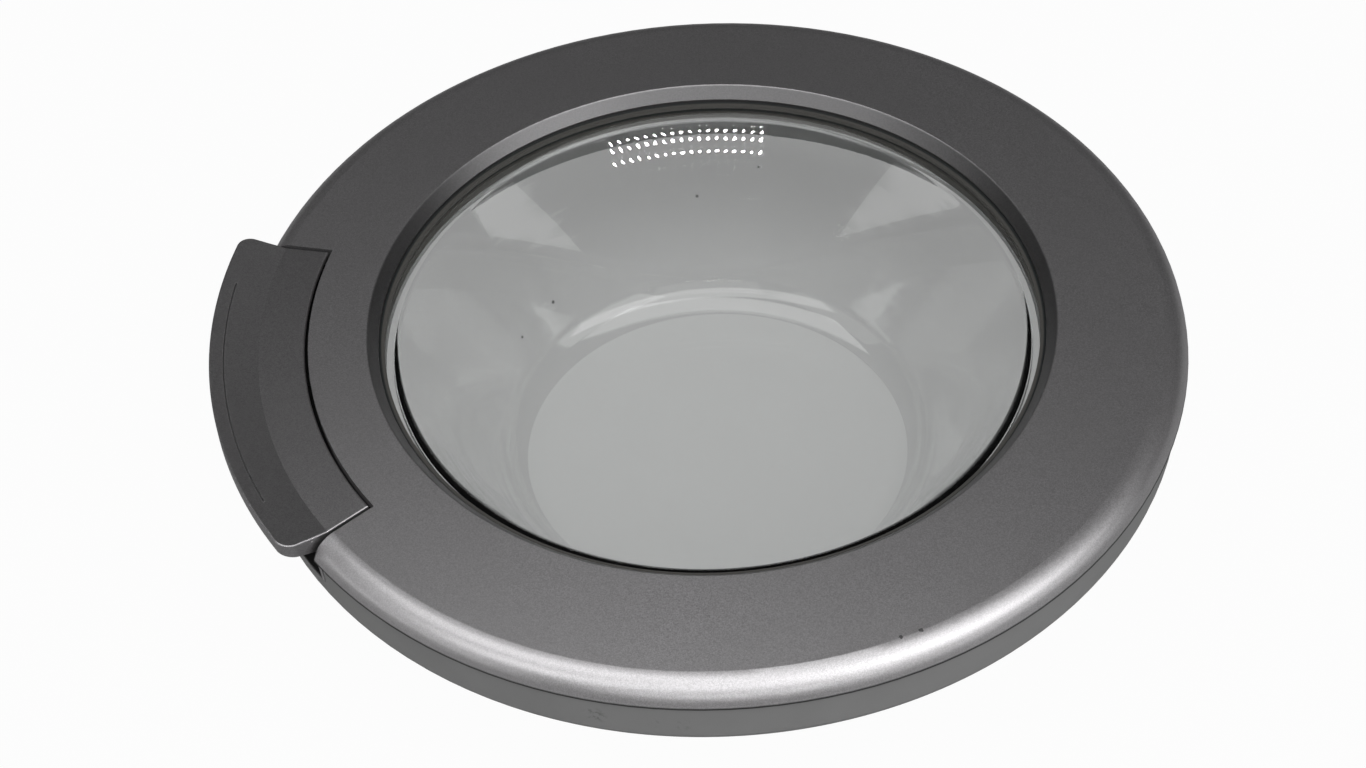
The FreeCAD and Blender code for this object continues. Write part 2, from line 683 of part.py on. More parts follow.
def rear_frame():
    body = new_body("rear_frame")
    wall = S.rear_wall
    section = new_sketch(body, "RingSection", "XZ")
    ledge_in = FLANGE_RADIUS - S.gasket_grip - S.seat_overhang
    upstand = GASKET_RADIUS + S.upstand_gap
    tongue = S.ring_radius - S.rear_step - S.tongue_step
    tongue_top = JOINT_Z + S.tongue_height
    draw_outline(section, [
        (ledge_in, SEAT_Z),
        (ledge_in, SEAT_Z - wall),
        (collar_line(SEAT_Z - wall, wall), SEAT_Z - wall),
        (collar_line(BACK_Z, wall), BACK_Z, S.collar_round),
        (rear_side(BACK_Z), BACK_Z, S.rear_round),
        (rear_side(JOINT_Z), JOINT_Z),
        (tongue, JOINT_Z),
        (tongue, tongue_top),
        (tongue - S.tongue_wall, tongue_top),
        (rear_side(BACK_TOP_Z, wall), BACK_TOP_Z, S.rear_round - wall),
        (collar_line(BACK_TOP_Z), BACK_TOP_Z),
        (upstand + wall, SEAT_Z),
        (upstand + wall, SEAT_Z + S.upstand_height),
        (upstand, SEAT_Z + S.upstand_height),
        (upstand, SEAT_Z),
    ])
    spin(body, "Ring", section)

    rib = new_sketch(body, "RibSection", "XZ", turn=S.rib_pitch / 2)
    rib_top = BACK_TOP_Z + S.rear_rib_height
    rib_foot = BACK_TOP_Z - wall / 2
    rib_out = rear_side(rib_foot, wall / 2) - S.rear_rib_inset
    draw_outline(rib, [
        (collar_line(rib_foot, wall / 2), rib_foot),
        (rib_out, rib_foot),
        (rib_out, rib_top),
        (collar_line(rib_top, wall / 2), rib_top),
    ])
    first_rib = extrude(body, "Rib", rib, S.rib_wall, both=True)
    repeat_around(body, "Ribs", first_rib, round(360 / S.rib_pitch.value))

    # standoffs that carry the front frame's bosses, with sunk screw heads behind
    posts = new_sketch(body, "StandoffCircles", "XY", rib_foot)
    sinks = new_sketch(body, "HeadCircles", "XY", BACK_Z)
    holes = new_sketch(body, "ScrewCircles", "XY", BACK_Z)
    for angle in boss_angles():
        x, y = at_angle(BOSS_CIRCLE, angle)
        draw_circle(posts, x, y, S.standoff_radius)
        draw_circle(sinks, x, y, S.screw_head_radius + S.screw_recess_gap)
        draw_circle(holes, x, y, S.screw_radius + S.screw_hole_gap)
    extrude(body, "Standoffs", posts, STANDOFF_Z - rib_foot)
    extrude(body, "HeadRecesses", sinks, S.screw_recess_depth, cut=True)
    extrude(body, "ScrewHoles", holes, S.standoff_height, cut=True)

    relief = new_sketch(body, "TubRelief", "XZ")
    draw_box(relief, -(S.ring_radius + S.cut_past), -(tongue - S.tongue_wall - S.cut_past),
             TUB_FOOT_Z, tongue_top + S.cut_past)
    relief_angle = S.notch_angle + S.tub_end_angle + S.tub_seat_gap
    spin(body, "TubSeat", relief, 2 * relief_angle, cut=True)

    hook_slot = new_sketch(body, "HookSlot", "XY", BACK_Z)
    draw_hook_slot(hook_slot)
    extrude(body, "HookOpening", hook_slot, wall, cut=True)
    latch_holes = new_sketch(body, "LatchScrewHoles", "XY", BACK_Z)
    for y in (-LATCH_SCREW_Y, LATCH_SCREW_Y):
        draw_circle(latch_holes, LATCH_X, y, S.small_screw_radius)
    extrude(body, "LatchHoles", latch_holes, wall, cut=True)

    # room for the hinge support, and the slot that its arm swings in
    room = new_sketch(body, "SupportRoom", "XY", BACK_TOP_Z)
    room_side, foot_side = SUPPORT_SIDE + S.support_room, FOOT_END + S.support_room
    draw_box(room, SUPPORT_IN - S.support_room, SUPPORT_OUT + S.fit_gap, -room_side, room_side)
    extrude(body, "Room", room, S.rear_rib_height + S.cut_past, cut=True)
    feet = new_sketch(body, "FootRoom", "XY", BACK_TOP_Z)
    draw_box(feet, FOOT_IN - S.support_room, FOOT_OUT + S.support_room, -foot_side, foot_side)
    extrude(body, "FeetRoom", feet, S.rear_rib_height + S.cut_past, cut=True)
    hinge_holes = new_sketch(body, "HingeScrewHoles", "XY", BACK_Z)
    for x, y in foot_screw_places():
        draw_circle(hinge_holes, x, y, S.small_screw_radius)
    extrude(body, "HingeHoles", hinge_holes, wall, cut=True)
    sink_edges(body, "Countersinks", S.small_head_depth, S.small_screw_radius, BACK_Z)
    slot = new_sketch(body, "HingeSlot", "XZ")
    half_t = S.hinge_arm_thickness / 2
    reach = (S.hinge_lift + half_t * sine(S.arm_lean)) / cosine(S.arm_lean)
    slot_in = HINGE_X - half_t * cosine(S.arm_lean) - reach * sine(S.arm_lean) - S.hinge_slot_gap
    slot_top = HINGE_Z + S.knuckle_radius + S.hinge_slot_gap
    draw_box(slot, slot_in, S.ring_radius + S.cut_past, BACK_Z - S.cut_past, slot_top)
    slot_width = 2 * (S.hinge_arm_half_width + S.hinge_slot_gap)
    extrude(body, "HingeOpening", slot, slot_width, cut=True, both=True)
    return body


def draw_hook_slot(sketch):
    draw_box(sketch, LATCH_X - S.hook_shank / 2 - S.hook_nose - S.latch_slot_gap,
             LATCH_X + S.hook_shank / 2 + S.hook_swing_room,
             -S.hook_width / 2 - S.latch_side_gap, S.hook_width / 2 + S.latch_side_gap)


def sink_edges(body, name, depth, radius, z):
    """Chamfers the mouths of the round holes of this radius at this height."""
    def wanted(edge):
        circle = edge.Curve
        return (isinstance(circle, Part.Circle) and abs(circle.Radius - radius.value) < 1e-4
                and abs(circle.Center.z - z.value) < 1e-4)
    base = body.Tip
    edges = [f"Edge{i}" for i, edge in enumerate(base.Shape.Edges, start=1) if wanted(edge)]
    feature = body.newObject("PartDesign::Chamfer", name)
    feature.Base = (base, edges)
    bind(feature, "Size", depth)
    doc.recompute()
    return feature


def glass_bowl():
    body = new_body("glass_bowl")
    section = new_sketch(body, "BowlSection", "XZ")
    lean = tangent(S.bowl_wall_lean)
    out = S.glass_wall / cosine(S.bowl_wall_lean)

    def wall_line(z, shift=0):
        return MOUTH_RADIUS - (GLASS_TOP_Z - z) * lean + shift

    draw_outline(section, [
        (0, 0),
        (wall_line(size_of(0), out), 0, S.bowl_floor_round + S.glass_wall),
        (wall_line(FLANGE_Z, out), FLANGE_Z, S.flange_root_round),
        (FLANGE_RADIUS, FLANGE_Z),
        (FLANGE_RADIUS, GLASS_TOP_Z),
        (MOUTH_RADIUS, GLASS_TOP_Z, S.bowl_rim_round),
        (wall_line(S.glass_wall), S.glass_wall, S.bowl_floor_round),
        (0, S.glass_wall),
    ])
    spin(body, "Bowl", section)
    return body


def glass_gasket():
    body = new_body("glass_gasket")
    section = new_sketch(body, "ChannelSection", "XZ")
    top_in = HOLE_RADIUS - S.gasket_show
    low_in = FLANGE_RADIUS - S.gasket_grip
    draw_outline(section, [
        (top_in, LIP_FOOT_Z),
        (top_in, GLASS_TOP_Z),
        (FLANGE_RADIUS, GLASS_TOP_Z),
        (FLANGE_RADIUS, FLANGE_Z),
        (low_in, FLANGE_Z),
        (low_in, SEAT_Z),
        (GASKET_RADIUS, SEAT_Z),
        (GASKET_RADIUS, LIP_FOOT_Z),
    ])
    spin(body, "Channel", section)
    return body


# Screws and pins, turned parts made from plain cylinders and cones

def cylinder(name, radius, height, base=(0, 0, 0), rotation=None):
    part = doc.addObject("Part::Cylinder", name)
    bind(part, "Radius", radius)
    bind(part, "Height", height)
    set_place(part, base, rotation)
    return part


def set_place(part, base, rotation=None):
    if rotation:
        part.Placement = FreeCAD.Placement(FreeCAD.Vector(0, 0, 0), rotation)
    for axis, value in zip("xyz", base):
        bind(part, f"Placement.Base.{axis}", value)


def pin_along_y(label, x, z, radius, half_length):
    """A plain pin, centred on Y = 0."""
    pin = cylinder(label, radius, 2 * half_length, (x, half_length, z),
                   FreeCAD.Rotation(FreeCAD.Vector(1, 0, 0), 90))
    pin.Label = label
    return pin


def compound(label, parts):
    group = doc.addObject("Part::Compound", label)
    group.Links = parts
    group.Label = label
    return group


def pan_screw(name, x, y, z):
    """A round head below z and its shank above."""
    head = cylinder(name + "_head", S.screw_head_radius, S.screw_head_height,
                    (x, y, z - S.screw_head_height))
    shank = cylinder(name + "_shank", S.screw_radius, S.screw_length, (x, y, z))
    screw = doc.addObject("Part::Fuse", name)
    screw.Base = head
    screw.Tool = shank
    return screw


def sunk_screw(name, x, y, z):
    """A countersunk head flush with z and its shank above."""
    head = doc.addObject("Part::Cone", name + "_head")
    bind(head, "Radius1", S.small_screw_radius + S.small_head_depth)
    bind(head, "Radius2", S.small_screw_radius)
    bind(head, "Height", S.small_head_depth)
    set_place(head, (x, y, z))
    shank = cylinder(name + "_shank", S.small_screw_radius,
                     S.small_screw_length - S.small_head_depth, (x, y, z + S.small_head_depth))
    screw = doc.addObject("Part::Fuse", name)
    screw.Base = head
    screw.Tool = shank
    return screw


def frame_screws():
    screws = []
    for number, angle in enumerate(boss_angles(), start=1):
        x, y = at_angle(BOSS_CIRCLE, angle)
        screws.append(pan_screw(f"frame_screw_{number}", x, y, BACK_Z + S.screw_recess_depth))
    return compound("frame_screws", screws)


def hinge_screws():
    screws = []
    for number, (x, y) in enumerate(foot_screw_places(), start=1):
        screws.append(sunk_screw(f"hinge_screw_{number}", x, y, BACK_Z))
    return compound("hinge_screws", screws)


def latch_screws():
    screws = []
    for number, y in enumerate((-LATCH_SCREW_Y, LATCH_SCREW_Y), start=1):
        screws.append(sunk_screw(f"latch_screw_{number}", LATCH_X, y, BACK_Z))
    return compound("latch_screws", screws)


# Hinge

def foot_screw_places():
    middle = (FOOT_IN + FOOT_OUT) / 2
    places = []
    for side in (-1, 1):
        for shift in (-S.foot_screw_spacing / 2, S.foot_screw_spacing / 2):
            places.append((middle + shift, side * (SUPPORT_SIDE + S.foot_length / 2)))
    return places


def hinge_support():
    """A folded steel channel that holds the two bushes, screwed to the rear frame."""
    body = new_body("hinge_support")
    web_z = HINGE_Z + S.knuckle_radius + S.support_web_gap
    outside = new_sketch(body, "ChannelOutline", "YZ", (SUPPORT_IN + SUPPORT_OUT) / 2)
    inside = SUPPORT_SIDE - S.support_cheek_wall
    draw_outline(outside, [
        (-SUPPORT_SIDE, BACK_TOP_Z),
        (-inside, BACK_TOP_Z),
        (-inside, web_z, S.support_bend / 2),
        (inside, web_z, S.support_bend / 2),
        (inside, BACK_TOP_Z),
        (SUPPORT_SIDE, BACK_TOP_Z),
        (SUPPORT_SIDE, web_z + S.support_wall, S.support_bend),
        (-SUPPORT_SIDE, web_z + S.support_wall, S.support_bend),
    ])
    extrude(body, "Channel", outside, SUPPORT_OUT - SUPPORT_IN, both=True)
    feet = new_sketch(body, "FeetOutline", "XY", BACK_TOP_Z)
    for side in (-1, 1):
        low, high = sorted((side * (SUPPORT_SIDE - S.support_cheek_wall), side * FOOT_END),
                           key=lambda size: size.value)
        draw_box(feet, FOOT_IN, FOOT_OUT, low, high)
    extrude(body, "Feet", feet, S.support_wall)
    bore = new_sketch(body, "BushBores", "XZ")
    draw_circle(bore, HINGE_X, HINGE_Z, S.bush_radius)
    extrude(body, "Bores", bore, 2 * (SUPPORT_SIDE + S.cut_past), cut=True, both=True)
    threads = new_sketch(body, "ScrewBores", "XY", BACK_TOP_Z)
    for x, y in foot_screw_places():
        draw_circle(threads, x, y, S.small_screw_radius)
    extrude(body, "Threads", threads, S.support_wall, cut=True)
    return body


def hinge_bush(label, side):
    """A flanged plastic bush, pressed into a cheek of the support from inside."""
    body = new_body(label)
    inside = S.knuckle_half_length + S.bush_side_gap
    section = new_sketch(body, "BushSection", "XY")
    draw_outline(section, [
        (S.hinge_pin_radius + S.hinge_pin_gap, 0),
        (S.bush_flange_radius, 0),
        (S.bush_flange_radius, S.bush_flange_wall),
        (S.bush_radius, S.bush_flange_wall),
        (S.bush_radius, S.bush_flange_wall + S.support_cheek_wall),
        (S.hinge_pin_radius + S.hinge_pin_gap, S.bush_flange_wall + S.support_cheek_wall),
    ])

    def settings(feature):
        feature.ReferenceAxis = (section, ["V_Axis"])
        bind(feature, "Angle", 360)
    add_feature(body, "Revolution", "Bush", section, True, settings)
    turn = 0 if side > 0 else 180
    set_place(body, (HINGE_X, side * inside, HINGE_Z),
              FreeCAD.Rotation(FreeCAD.Vector(1, 0, 0), turn))
    return body


def hinge_bracket():
    """The bracket that bolts to the cabinet, drawn from its pin with the plate upright.

    It swings freely, so on a door that lies face up it hangs with the plate leaning in."""
    body = new_body("hinge_bracket")
    half_t = S.hinge_arm_thickness / 2
    lean_s, lean_c = sine(S.arm_lean), cosine(S.arm_lean)
    back, front = S.plate_offset, S.plate_offset + S.plate_wall

    def arm_drop(outward, side):
        """How far below the pin the arm's upper or lower side lies at a distance out."""
        start = side * half_t
        return start * lean_c + (outward + start * lean_s) * lean_s / lean_c

    knuckle = new_sketch(body, "KnuckleCircle", "XZ")
    draw_circle(knuckle, 0, 0, S.knuckle_radius)
    extrude(body, "Knuckle", knuckle, 2 * S.knuckle_half_length, both=True)
    arm = new_sketch(body, "ArmOutline", "XZ")
    draw_outline(arm, [
        (half_t * lean_s, half_t * lean_c),
        (front, -arm_drop(front, -1), S.hinge_arm_thickness),
        (front, -S.plate_reach / 2),
        (back, -S.plate_reach / 2),
        (back, -arm_drop(back, 1), S.arm_root_round),
        (-half_t * lean_s, -half_t * lean_c),
    ])
    extrude(body, "Arm", arm, 2 * S.hinge_arm_half_width, both=True)
    plate = new_sketch(body, "PlateOutline", "YZ", back)
    side = S.plate_half_width
    draw_outline(plate, [
        (-side, -S.plate_reach, S.plate_round),
        (side, -S.plate_reach, S.plate_round),
        (side, -S.plate_top, S.plate_round),
        (-side, -S.plate_top, S.plate_round),
    ])
    extrude(body, "Plate", plate, S.plate_wall)
    bore = new_sketch(body, "PinBore", "XZ")
    draw_circle(bore, 0, 0, S.hinge_pin_radius)
    extrude(body, "Bore", bore, 2 * (S.knuckle_half_length + S.cut_past), cut=True, both=True)
    holes = new_sketch(body, "PlateHoles", "YZ", front)
    half = S.plate_hole_spacing / 2
    for y in (-half, half):
        for drop in (S.plate_hole_first, S.plate_hole_first + S.plate_hole_spacing):
            draw_circle(holes, y, -drop, S.plate_hole_radius)
    extrude(body, "Holes", holes, S.plate_wall, cut=True, up=False)
    set_place(body, (HINGE_X, 0, HINGE_Z),
              FreeCAD.Rotation(FreeCAD.Vector(0, 1, 0), S.hang_angle.value))
    bind(body, "Placement.Rotation.Angle", S.hang_angle)
    return body


def hinge_pin():
    return pin_along_y("hinge_pin", HINGE_X, HINGE_Z, S.hinge_pin_radius,
                       S.knuckle_half_length + S.bush_side_gap + S.bush_flange_wall
                       + S.support_cheek_wall + S.pin_end)


# Latch

def latch_housing():
    """The hook's bearing block, screwed to the inside of the rear frame."""
    body = new_body("latch_housing")
    base = new_sketch(body, "BaseOutline", "XY", BACK_TOP_Z)
    draw_box(base, LATCH_X - S.latch_base_half_length, LATCH_X + S.latch_base_half_length,
             -S.latch_base_half_width, S.latch_base_half_width)
    extrude(body, "Base", base, S.latch_base_wall)
    cheek = new_sketch(body, "CheekOutline", "XZ")
    reach = S.latch_pin_radius + S.latch_cheek_wall
    foot = BACK_TOP_Z + S.latch_base_wall / 2
    draw_outline(cheek, [
        (LATCH_X - reach, foot),
        (LATCH_X + reach, foot),
        (LATCH_X + reach, LATCH_Z + reach, S.latch_cheek_round),
        (LATCH_X - reach, LATCH_Z + reach, S.latch_cheek_round),
    ])
    outside = S.latch_cheek_offset + S.latch_cheek_wall
    extrude(body, "CheekBlock", cheek, 2 * outside, both=True)
    gap = new_sketch(body, "CheekGap", "XZ")
    past = reach + S.cut_past
    draw_box(gap, LATCH_X - past, LATCH_X + past, BACK_TOP_Z + S.latch_base_wall, LATCH_Z + past)
    extrude(body, "Gap", gap, 2 * S.latch_cheek_offset, cut=True, both=True)
    slot = new_sketch(body, "HookSlot", "XY", BACK_TOP_Z)
    draw_hook_slot(slot)
    extrude(body, "HookOpening", slot, S.latch_base_wall, cut=True)
    holes = new_sketch(body, "ScrewBores", "XY", BACK_TOP_Z)
    for y in (-LATCH_SCREW_Y, LATCH_SCREW_Y):
        draw_circle(holes, LATCH_X, y, S.small_screw_radius)
    extrude(body, "Threads", holes, S.latch_base_wall, cut=True)
    bore = new_sketch(body, "PinBore", "XZ")
    draw_circle(bore, LATCH_X, LATCH_Z, S.latch_pin_radius)
    extrude(body, "Bore", bore, 2 * (outside + S.cut_past), cut=True, both=True)
    return body


def latch_hook():
    """The hook, its nose turned outward, pushed by the handle's arm at its upper end."""
    body = new_body("latch_hook")
    outline = new_sketch(body, "HookOutline", "XZ")
    half = S.hook_shank / 2
    push_x = AXLE_X - S.arm_thickness / 2 - S.hook_push_gap
    top = TUB_BASE_Z - S.hook_top_gap
    tip = LATCH_Z - S.hook_reach
    edge, bend = S.hook_edge_round, S.hook_bend_round
    nose_x = LATCH_X - half - S.hook_nose
    draw_outline(outline, [
        (push_x, top, edge),
        (push_x, LATCH_Z + S.hook_boss_radius, edge),
        (LATCH_X + half, LATCH_Z, bend),
        (LATCH_X + half, tip, S.hook_tip_round),
        (LATCH_X - half, tip, bend),
        (nose_x, tip + S.hook_catch_edge, edge),
        (nose_x, tip + S.hook_catch, edge),
        (LATCH_X - half, tip + S.hook_catch, edge),
        (LATCH_X - half, LATCH_Z - S.hook_boss_radius, bend),
        (LATCH_X - S.hook_boss_radius, LATCH_Z, bend),
        (push_x - S.hook_shank, top, edge),
    ])
    extrude(body, "Hook", outline, S.hook_width, both=True)
    spacer = new_sketch(body, "SpacerCircle", "XZ", -S.hook_width / 2)
    draw_circle(spacer, LATCH_X, LATCH_Z, S.hook_boss_radius)
    extrude(body, "Spacer", spacer, S.latch_cheek_offset - S.hook_width / 2 - S.bush_side_gap)
    bore = new_sketch(body, "PinBore", "XZ")
    draw_circle(bore, LATCH_X, LATCH_Z, S.latch_pin_radius + S.latch_pin_gap)
    extrude(body, "Bore", bore, 2 * S.latch_cheek_offset, cut=True, both=True)
    return body


def latch_pin():
    return pin_along_y("latch_pin", LATCH_X, LATCH_Z, S.latch_pin_radius,
                       S.latch_cheek_offset + S.latch_cheek_wall)


def torsion_spring(label, x, z, start_y, coil_radius, wire_radius, pitch, turns, side, legs):
    """A coil round a pin along Y. Its legs hang down from both ends, half a turn apart."""
    height = pitch * turns
    helix = doc.addObject("Part::Helix", label + "_helix")
    bind(helix, "Radius", coil_radius)
    bind(helix, "Pitch", pitch)
    bind(helix, "Height", height)
    helix.Placement.Rotation = FreeCAD.Rotation(FreeCAD.Vector(0, 0, 1), 0 if side > 0 else 180)
    wire = doc.addObject("Part::Circle", label + "_wire")
    bind(wire, "Radius", wire_radius)
    wire.Placement = FreeCAD.Placement(FreeCAD.Vector(0, 0, 0),
                                       FreeCAD.Rotation(FreeCAD.Vector(1, 0, 0), 90))
    bind(wire, "Placement.Base.x", side * coil_radius)
    doc.recompute()
    coil = doc.addObject("Part::Sweep", label + "_coil")
    coil.Sections = [wire]
    coil.Spine = (helix, [f"Edge{i + 1}" for i in range(len(helix.Shape.Edges))])
    coil.Solid = True
    coil.Frenet = True
    parts = [coil]
    for number, (leg_side, along, length) in enumerate(legs, start=1):
        leg = cylinder(f"{label}_leg_{number}", wire_radius, length,
                       (leg_side * coil_radius, 0, along),
                       FreeCAD.Rotation(FreeCAD.Vector(1, 0, 0), -90))
        parts.append(leg)
    spring = doc.addObject("Part::MultiFuse", label)
    spring.Shapes = parts
    spring.Label = label
    set_place(spring, (x, start_y, z), FreeCAD.Rotation(FreeCAD.Vector(1, 0, 0), -90))
    return spring


# Handle

def handle_top(radius, depth=0):
    """Height of the handle's front face at a radius outside its crease."""
    crease_z = face_line(CREASE_RADIUS)
    return (crease_z + (radius - CREASE_RADIUS) * tangent(S.handle_rise)
            - depth / cosine(S.handle_rise))


def handle_crease(depth):
    """Where the two halves of the handle's underside meet at a depth below its face."""
    spread = tangent(S.handle_rise) + tangent(S.face_slope)
    radius = (CREASE_RADIUS
              + depth * (1 / cosine(S.handle_rise) - 1 / cosine(S.face_slope)) / spread)
    return radius, face_line(radius, depth)


def near_circle(edge, radius):
    """Whether an edge is upright and stands at this radius."""
    ends = [math.hypot(v.X, v.Y) for v in edge.Vertexes]
    return (len(ends) == 2 and isinstance(edge.Curve, Part.Line)
            and all(abs(end - radius.value) < 0.01 for end in ends))


def handle_cover():
    """The silver plate that is gripped, open underneath."""
    body = new_body("handle_cover_body")
    inner, outer = NOTCH_RADIUS + S.handle_gap, HANDLE_RADIUS
    crease = CREASE_RADIUS
    block = new_sketch(body, "BlockSection", "XZ")
    draw_outline(block, [
        (-inner, face_line(inner)),
        (-inner, face_line(inner) - S.handle_inner_skirt),
        (-HANDLE_END_RADIUS, face_line(crease) - S.handle_end_skirt),
        (-outer, handle_top(outer) - S.handle_skirt),
        (-outer, handle_top(outer)),
        (-crease, face_line(crease)),
    ])
    spin(body, "Block", block, 2 * S.handle_angle)
    round_edges(body, "CornerRounds", S.handle_corner_round,
                lambda edge: near_circle(edge, outer))

    def on_top_rim(edge):
        points = edge.discretize(5)
        for point in points:
            radius = Size(math.hypot(point.x, point.y))
            top = max(face_line(radius).value, handle_top(radius).value)
            if abs(point.z - top) > 0.02:
                return False
        middle = points[2]
        return abs(math.hypot(middle.x, middle.y) - crease.value) > 0.05
    round_edges(body, "RimRound", S.handle_edge_round, on_top_rim)

    wall = S.handle_wall
    low = face_line(crease) - S.handle_end_skirt - S.cut_past
    hollow = new_sketch(body, "HollowSection", "XZ")
    bend_r, bend_z = handle_crease(wall)
    past = inner - S.cut_past
    draw_outline(hollow, [
        (-past, face_line(past, wall)),
        (-past, low),
        (-(outer - wall), low),
        (-(outer - wall), handle_top(outer - wall, wall)),
        (-bend_r, bend_z),
    ])
    spin(body, "Hollow", hollow, 2 * (S.handle_angle - S.handle_end_wall), cut=True)
    round_edges(body, "InnerRounds", S.handle_corner_round - wall,
                lambda edge: near_circle(edge, outer - wall))
    groove = new_sketch(body, "GrooveSection", "XZ")
    groove_in = GROOVE_RADIUS - S.groove_width / 2
    draw_box(groove, -(groove_in + S.groove_width), -groove_in,
             handle_top(GROOVE_RADIUS) - S.groove_depth, handle_top(GROOVE_RADIUS) + S.cut_past)
    spin(body, "Groove", groove, 2 * S.groove_angle, cut=True)
    return drilled(body, "handle_cover")


def handle_lever():
    """The stiff frame under the cover, with the axle boss and the arm for the hook."""
    body = new_body("handle_lever_body")
    inner = NOTCH_RADIUS + S.handle_gap + S.lever_inset
    outer = HANDLE_RADIUS - S.handle_wall
    top, low = S.handle_wall, S.handle_wall + S.lever_wall
    plate = new_sketch(body, "PlateSection", "XZ")
    bend, under = handle_crease(top), handle_crease(low)
    lip_in = outer - S.lever_wall
    draw_outline(plate, [
        (-inner, face_line(inner, top)),
        (-inner, face_line(inner, low)),
        (-under[0], under[1]),
        (-lip_in, handle_top(lip_in, low)),
        (-lip_in, handle_top(outer, low) - S.lever_lip),
        (-outer, handle_top(outer, low) - S.lever_lip),
        (-outer, handle_top(outer, top)),
        (-bend[0], bend[1]),
    ])
    spin(body, "Plate", plate, 2 * S.lever_angle)
    round_edges(body, "CornerRounds", S.handle_corner_round - S.handle_wall,
                lambda edge: near_circle(edge, outer))

    boss = new_sketch(body, "BossCircle", "XZ")
    draw_circle(boss, AXLE_X, AXLE_Z, S.axle_boss_radius)
    extrude(body, "Boss", boss, 2 * S.boss_half_length, both=True)
    web = new_sketch(body, "WebSection", "XZ")
    web_in, web_out = AXLE_X + S.lever_web_inner, AXLE_X - S.lever_web_outer
    draw_outline(web, [
        (web_in, AXLE_Z),
        (web_in, face_line(-web_in, (top + low) / 2)),
        (web_out, face_line(-web_out, (top + low) / 2)),
        (web_out, AXLE_Z),
    ])
    extrude(body, "Web", web, 2 * S.boss_half_length, both=True)

    # room for the axle's cheeks and for the spring
    room = new_sketch(body, "CheekRoom", "XY", FACE_Z)
    cheek_out = AXLE_X - S.cheek_radius - S.cheek_side_room
    for side in (-1, 1):
        near, far = side * S.boss_half_length, side * (S.axle_half_length + S.fit_gap)
        low_y, high_y = (near, far) if side > 0 else (far, near)
        draw_box(room, cheek_out, AXLE_X / 2, low_y, high_y)
    extrude(body, "CheekClearance", room, FACE_Z - TUB_FLOOR_Z, cut=True, up=False)
    spring_end = S.spring_start + S.spring_pitch * S.spring_turns
    coil = new_sketch(body, "SpringRoom", "XY", FACE_Z)
    around = S.spring_coil_radius + S.spring_wire_radius + S.spring_room
    draw_box(coil, AXLE_X - around, AXLE_X / 2,
             S.spring_start - S.spring_room, spring_end + S.spring_room)
    extrude(body, "SpringClearance", coil, FACE_Z - TUB_FLOOR_Z, cut=True, up=False)

    arm = new_sketch(body, "ArmSection", "XZ")
    half = S.arm_thickness / 2
    draw_outline(arm, [
        (AXLE_X - half, AXLE_Z - S.arm_reach, S.arm_tip_round),
        (AXLE_X + half, AXLE_Z - S.arm_reach, S.arm_tip_round),
        (AXLE_X + half, AXLE_Z),
        (AXLE_X - half, AXLE_Z),
    ])
    extrude(body, "Arm", arm, S.arm_width, both=True)
    ear = new_sketch(body, "EarSection", "XZ", S.arm_width / 2)
    ear_z = AXLE_Z - S.arm_ear_drop
    draw_box(ear, AXLE_X - half, AXLE_X, ear_z, ear_z + S.arm_ear_height)
    extrude(body, "Ear", ear, S.arm_ear_width, up=False)
    bore = new_sketch(body, "AxleBoreCircle", "XZ")
    draw_circle(bore, AXLE_X, AXLE_Z, S.axle_radius + S.axle_gap)
    extrude(body, "AxleBore", bore, 2 * (S.boss_half_length + S.cut_past), cut=True, both=True)
    return drilled(body, "handle_lever")


def handle_screw_turns():
    """The angles of the cover's screws about the door's axis, counted from the handle."""
    near, far = S.handle_screw_angle, S.handle_screw_angle + S.handle_screw_spread
    return [-far, -near, near, far]


def square_to_handle(thing, turn):
    """Stands a screw or a drill on the lever's sloping underside, pointing to the front."""
    seat = handle_top(HANDLE_SCREW_CIRCLE, S.handle_wall + S.lever_wall)
    around = FreeCAD.Rotation(FreeCAD.Vector(0, 0, 1), 180 + turn.value)
    tilt = FreeCAD.Rotation(FreeCAD.Vector(0, 1, 0), -S.handle_rise.value)
    x, y = at_angle(-HANDLE_SCREW_CIRCLE, turn)
    set_place(thing, (x, y, seat), around.multiply(tilt))


def drilled(body, label):
    """The body with the screws' holes cut into it."""
    drills = []
    for number, turn in enumerate(handle_screw_turns(), start=1):
        drill = cylinder(f"{label}_drill_{number}", S.small_screw_radius, S.handle_screw_length)
        square_to_handle(drill, turn)
        drills.append(drill)
    cut = doc.addObject("Part::Cut", label)
    cut.Base = body
    cut.Tool = compound(label + "_drills", drills)
    cut.Label = label
    return cut


def handle_screws():
    """Screws that hold the cover, square to the lever's sloping underside."""
    screws = []
    for number, turn in enumerate(handle_screw_turns(), start=1):
        name = f"handle_screw_{number}"
        screw = doc.addObject("Part::Fuse", name)
        screw.Base = cylinder(name + "_head", S.screw_head_radius, S.screw_head_height,
                              (0, 0, -S.screw_head_height))
        screw.Tool = cylinder(name + "_shank", S.small_screw_radius, S.handle_screw_length)
        square_to_handle(screw, turn)
        screws.append(screw)
    return compound("handle_screws", screws)


def handle_axle():
    return pin_along_y("handle_axle", AXLE_X, AXLE_Z, S.axle_radius, S.axle_half_length)


def handle_bumpers():
    """Rubber stops on the tub's floor that the closed handle rests over."""
    pads = []
    depth = S.handle_wall + S.lever_wall
    height = handle_crease(depth)[1] - S.bumper_gap - TUB_FLOOR_Z
    for number, side in enumerate((-1, 1), start=1):
        x, y = at_angle(-BUMPER_CIRCLE, side * S.bumper_angle)
        pads.append(cylinder(f"handle_bumper_{number}", S.bumper_radius, height,
                             (x, y, TUB_FLOOR_Z)))
    return compound("handle_bumpers", pads)


